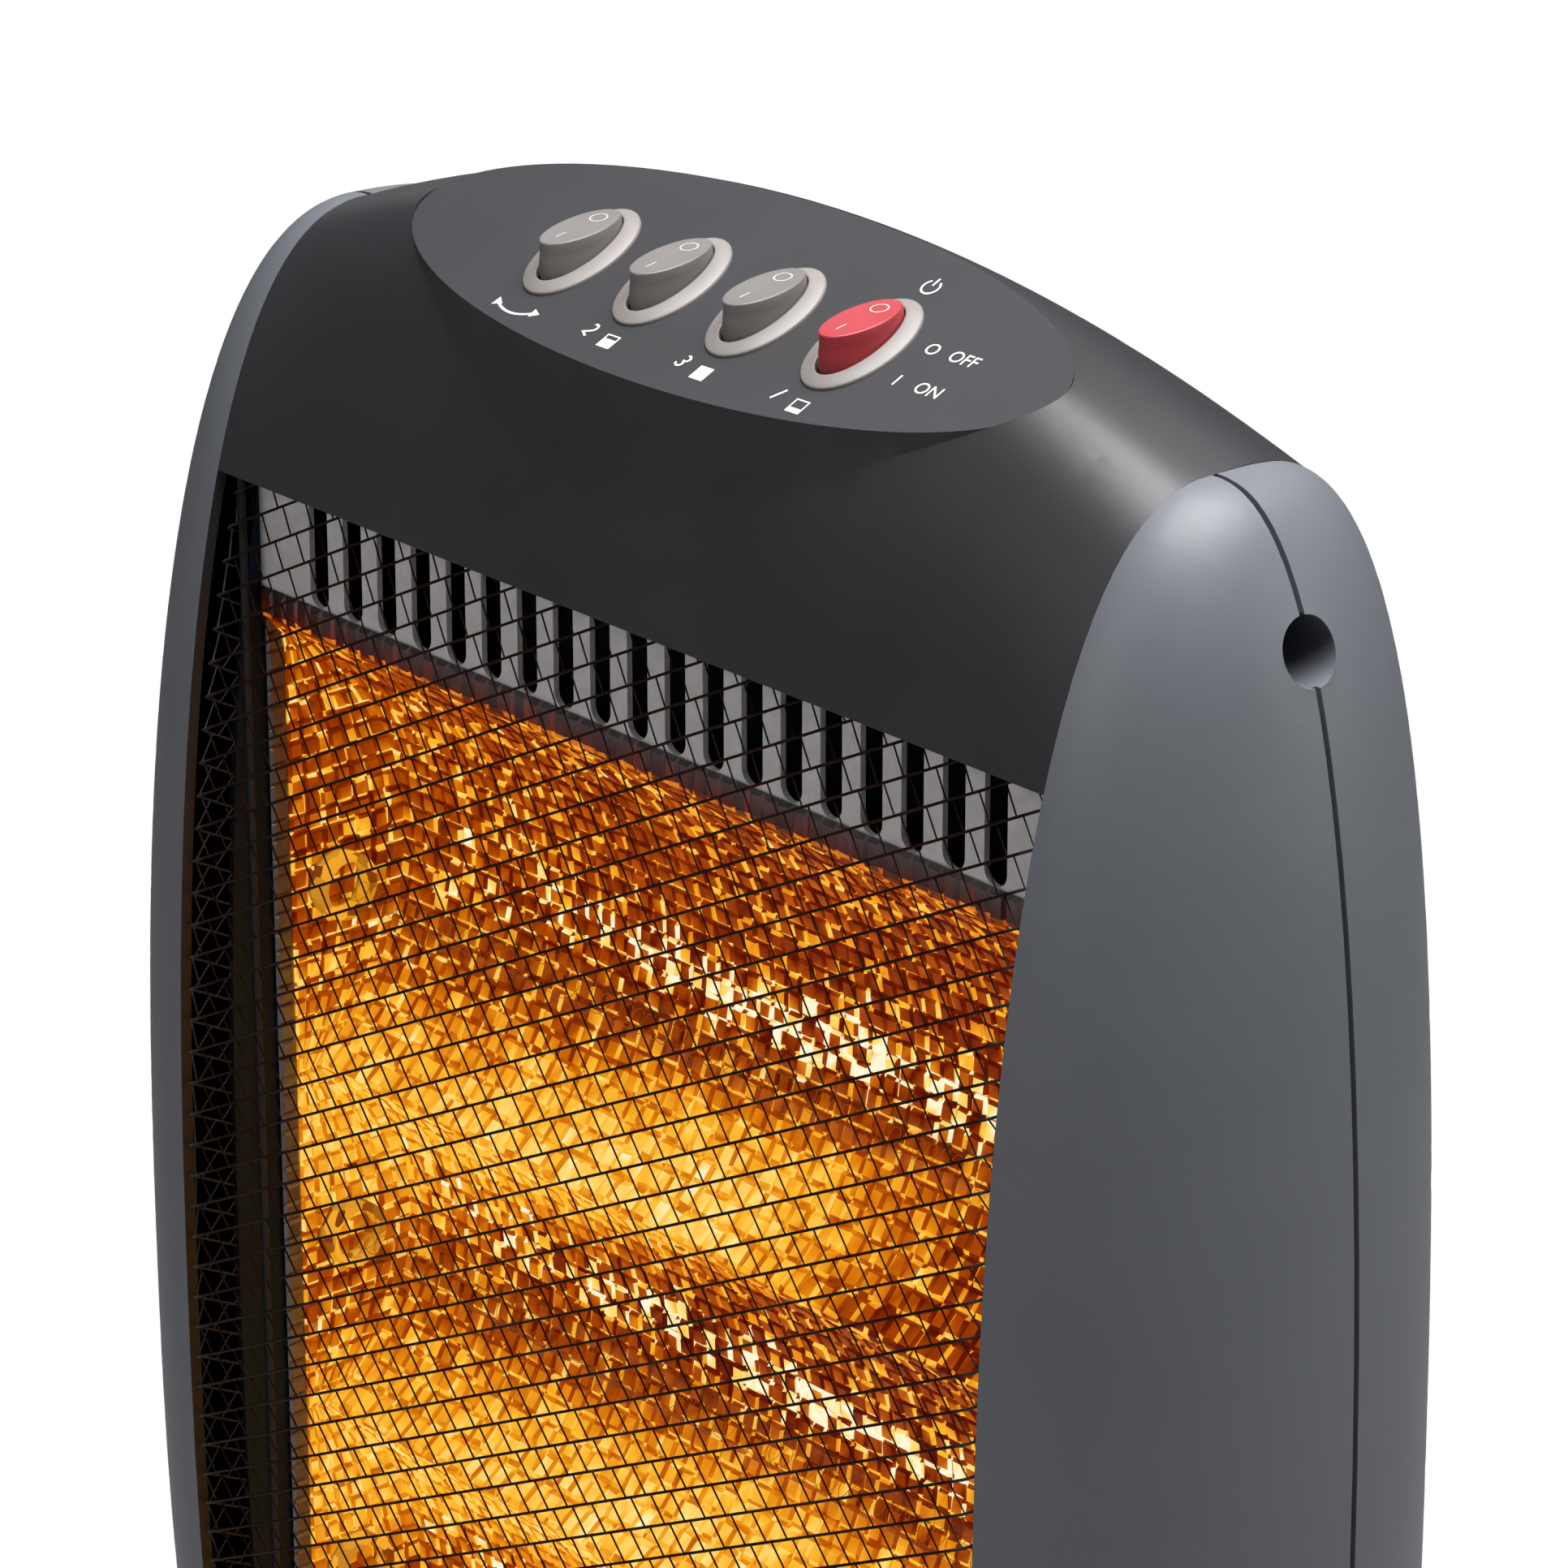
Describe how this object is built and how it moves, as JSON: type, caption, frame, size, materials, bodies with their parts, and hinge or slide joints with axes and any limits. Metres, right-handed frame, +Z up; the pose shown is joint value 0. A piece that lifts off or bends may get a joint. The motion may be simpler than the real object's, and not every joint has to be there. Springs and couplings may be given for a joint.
{
  "type": "quartz heater",
  "caption": "Upright quartz tube heater with a swivelling head on a round base, a mesh grille over a bright reflector, and a row of rocker switches on its sloping top.",
  "frame": {"origin": "on the floor under the swivel axis, at the middle of the feet", "axes": "+Z up, the grille faces -Y, and the switch row runs along X with the red one at +X"},
  "size_m": [0.304, 0.25, 0.537],
  "materials": {
    "black_plastic": "satin black moulding",
    "base_plastic": "satin black moulding",
    "grey_plastic": "satin grey moulding",
    "grille_paint": "black coated wire",
    "reflector_sheet": "bright embossed sheet",
    "plated_steel": "dull zinc plate",
    "screw_steel": "plated",
    "quartz": "clear quartz",
    "coil_wire": "resistance wire, glowing",
    "ceramic": "matt white",
    "bezel_plastic": "satin light grey",
    "rocker_grey": "semi-gloss mid grey",
    "rocker_red": "semi-gloss red",
    "terminal_brass": "plain",
    "cutout_plastic": "moulded",
    "motor_metal": "plated can",
    "ballast_iron": "rough",
    "foot_rubber": "matt",
    "white_plastic": "smooth"
  },
  "bodies": {
    "base": {"base_shell": "base_plastic", "base_plate": "plated_steel", "base_screws": "screw_steel", "rubber_feet": "foot_rubber", "ballast_ring": "ballast_iron", "cord_gland": "foot_rubber", "tip_over_switch": "cutout_plastic", "swivel_motor": "motor_metal", "swivel_washer": "white_plastic"},
    "head": {"top_cover": "black_plastic", "bottom_cover": "black_plastic", "rear_cover": "black_plastic", "neck": "black_plastic", "side_cover_front_right": "grey_plastic", "side_cover_front_left": "grey_plastic", "side_cover_rear_right": "grey_plastic", "side_cover_rear_left": "grey_plastic", "grille_mesh": "grille_paint", "reflector": "reflector_sheet", "reflector_end_right": "reflector_sheet", "reflector_end_left": "reflector_sheet", "end_plate_right": "plated_steel", "end_plate_left": "plated_steel", "heat_shield": "plated_steel", "retaining_ring": "plated_steel", "swivel_arm": "plated_steel", "side_screws": "screw_steel", "rear_cover_screws": "screw_steel", "quartz_tube_top": "quartz", "quartz_tube_middle": "quartz", "quartz_tube_bottom": "quartz", "heating_coil_top": "coil_wire", "heating_coil_middle": "coil_wire", "heating_coil_bottom": "coil_wire", "ceramic_end_caps": "ceramic", "switch_housing_swivel": "bezel_plastic", "switch_housing_heat_two": "bezel_plastic", "switch_housing_heat_three": "bezel_plastic", "switch_housing_power": "bezel_plastic", "switch_terminals": "terminal_brass", "thermal_cutout": "cutout_plastic", "terminal_block": "cutout_plastic"},
    "crank": {"motor_crank": "plated_steel"},
    "link": {"crank_link": "plated_steel"},
    "plunger": {"tip_over_plunger": "white_plastic"},
    "rocker_swivel": {"rocker_swivel": "rocker_grey"},
    "rocker_heat_two": {"rocker_heat_two": "rocker_grey"},
    "rocker_heat_three": {"rocker_heat_three": "rocker_grey"},
    "rocker_power": {"rocker_power": "rocker_red"}
  },
  "joints": [
    {"name": "head_swivel", "type": "hinge", "parent": "base", "child": "head", "pos_m": [0, 0, 0.0475], "axis": [0, 0, 1], "range_deg": [-35, 35]},
    {"name": "crank_turn", "type": "hinge", "parent": "base", "child": "crank", "pos_m": [-0.062, 0, 0.028], "axis": [0, 0, 1], "range_deg": [-35, 35]},
    {"name": "link_pivot", "type": "hinge", "parent": "crank", "child": "link", "pos_m": [-0.062, -0.026, 0.0245], "axis": [0, 0, 1], "range_deg": [-35, 35]},
    {"name": "tip_over_drop", "type": "slide", "parent": "base", "child": "plunger", "axis": [0, 0, 1], "range_m": [-0.0038, 0], "stiffness_N_per_m": 20, "springref_m": -0.006},
    {"name": "rocker_swivel_tilt", "type": "hinge", "parent": "head", "child": "rocker_swivel", "pos_m": [-0.0375, -0.00315, 0.52374], "axis": [1, 0, 0], "range_deg": [0, 30]},
    {"name": "rocker_heat_two_tilt", "type": "hinge", "parent": "head", "child": "rocker_heat_two", "pos_m": [-0.0125, -0.00315, 0.52374], "axis": [1, 0, 0], "range_deg": [0, 30]},
    {"name": "rocker_heat_three_tilt", "type": "hinge", "parent": "head", "child": "rocker_heat_three", "pos_m": [0.0125, -0.00315, 0.52374], "axis": [1, 0, 0], "range_deg": [0, 30]},
    {"name": "rocker_power_tilt", "type": "hinge", "parent": "head", "child": "rocker_power", "pos_m": [0.0375, -0.00315, 0.52374], "axis": [1, 0, 0], "range_deg": [0, 30]}
  ],
  "couplings": [
    {"joint": "crank_turn", "follows": "head_swivel", "ratio": 1},
    {"joint": "link_pivot", "follows": "head_swivel", "ratio": -1}
  ]
}
